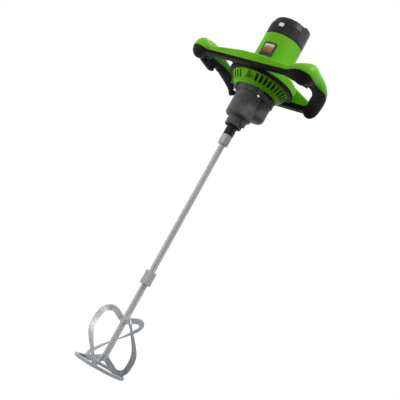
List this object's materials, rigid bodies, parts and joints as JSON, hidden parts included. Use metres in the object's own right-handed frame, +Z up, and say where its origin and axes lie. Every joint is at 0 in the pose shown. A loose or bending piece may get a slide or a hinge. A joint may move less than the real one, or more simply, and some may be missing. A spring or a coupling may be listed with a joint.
{
  "type": "mixing drill",
  "caption": "Hand-held paddle mixer: a motor in a two-handed frame turns a long rod with a bladed mixing ring through spur gears.",
  "frame": {"origin": "on the spindle's axis at the underside of the paddle ring", "axes": "+Z up along the spindle to the motor, +X to the right grip, -Y to the front"},
  "size_m": [0.3294, 0.1939, 0.905],
  "materials": {
    "green_plastic": "satin moulded",
    "black_plastic": "fine grain",
    "grip_rubber": "matt ribbed",
    "cast_case": "dark cast",
    "zinc_steel": "zinc plated",
    "dark_steel": "black oxide",
    "bright_steel": "bright plated",
    "gear_steel": "ground",
    "bearing_steel": "polished",
    "lamination": "stacked sheet",
    "copper": "lacquered",
    "brass": "stamped",
    "carbon": "pressed",
    "inner_plastic": "moulded"
  },
  "bodies": {
    "housing": {"gear_case": "cast_case", "bearing_plate": "cast_case", "gear_case_screws": "bright_steel", "spindle_seal": "grip_rubber", "spindle_bearing_lower": "bearing_steel", "spindle_bearing_upper": "bearing_steel", "lay_bearing_lower": "bearing_steel", "lay_bearing_upper": "bearing_steel", "motor_bearing_lower": "bearing_steel", "motor_bearing_upper": "bearing_steel", "fan_housing": "green_plastic", "motor_housing": "green_plastic", "stator_core": "lamination", "field_coils": "copper", "brush_plate": "inner_plastic", "brush_holders": "brass", "carbon_brushes": "carbon", "top_cap": "black_plastic", "brush_cover_left": "black_plastic", "brush_cover_right": "black_plastic", "frame_upper_shell": "green_plastic", "frame_lower_shell": "black_plastic", "left_grip_pad": "grip_rubber", "right_grip_pad": "grip_rubber", "frame_screws": "dark_steel", "switch_module": "inner_plastic", "trigger_spring": "bright_steel", "cable_gland": "grip_rubber"},
    "spindle_body": {"spindle": "dark_steel", "output_gear": "gear_steel", "circlip": "dark_steel", "lock_nut": "zinc_steel", "upper_rod": "zinc_steel", "coupling": "zinc_steel", "lower_rod": "zinc_steel", "blade_1": "zinc_steel", "blade_2": "zinc_steel", "blade_3": "zinc_steel", "paddle_ring": "zinc_steel"},
    "lay_body": {"layshaft": "gear_steel", "lay_gear": "gear_steel", "lay_pinion": "gear_steel"},
    "rotor_body": {"motor_shaft": "gear_steel", "armature_core": "lamination", "armature_windings": "copper", "commutator": "copper", "cooling_fan": "inner_plastic"},
    "trigger_body": {"trigger": "black_plastic"},
    "lock_body": {"lock_button": "black_plastic"}
  },
  "joints": [
    {"name": "motor_spin", "type": "hinge", "parent": "housing", "child": "rotor_body", "pos_m": [0, 0.016, 0.79], "axis": [0, 0, 1], "continuous": true},
    {"name": "lay_spin", "type": "hinge", "parent": "housing", "child": "lay_body", "pos_m": [0.01912, 0.0305, 0.68], "axis": [0, 0, 1], "continuous": true},
    {"name": "spindle_spin", "type": "hinge", "parent": "housing", "child": "spindle_body", "pos_m": [0, 0, 0.6], "axis": [0, 0, 1], "continuous": true},
    {"name": "trigger_press", "type": "slide", "parent": "housing", "child": "trigger_body", "axis": [0, 0, 1], "range_m": [0, 0.005], "stiffness_N_per_m": 900, "springref_m": -0.002, "deforming": ["trigger_spring"]},
    {"name": "lock_press", "type": "slide", "parent": "housing", "child": "lock_body", "axis": [1, 0, 0], "range_m": [0, 0.003], "stiffness_N_per_m": 500, "springref_m": -0.002}
  ],
  "couplings": [
    {"joint": "lay_spin", "follows": "motor_spin", "ratio": -0.2},
    {"joint": "spindle_spin", "follows": "motor_spin", "ratio": 0.066667}
  ]
}
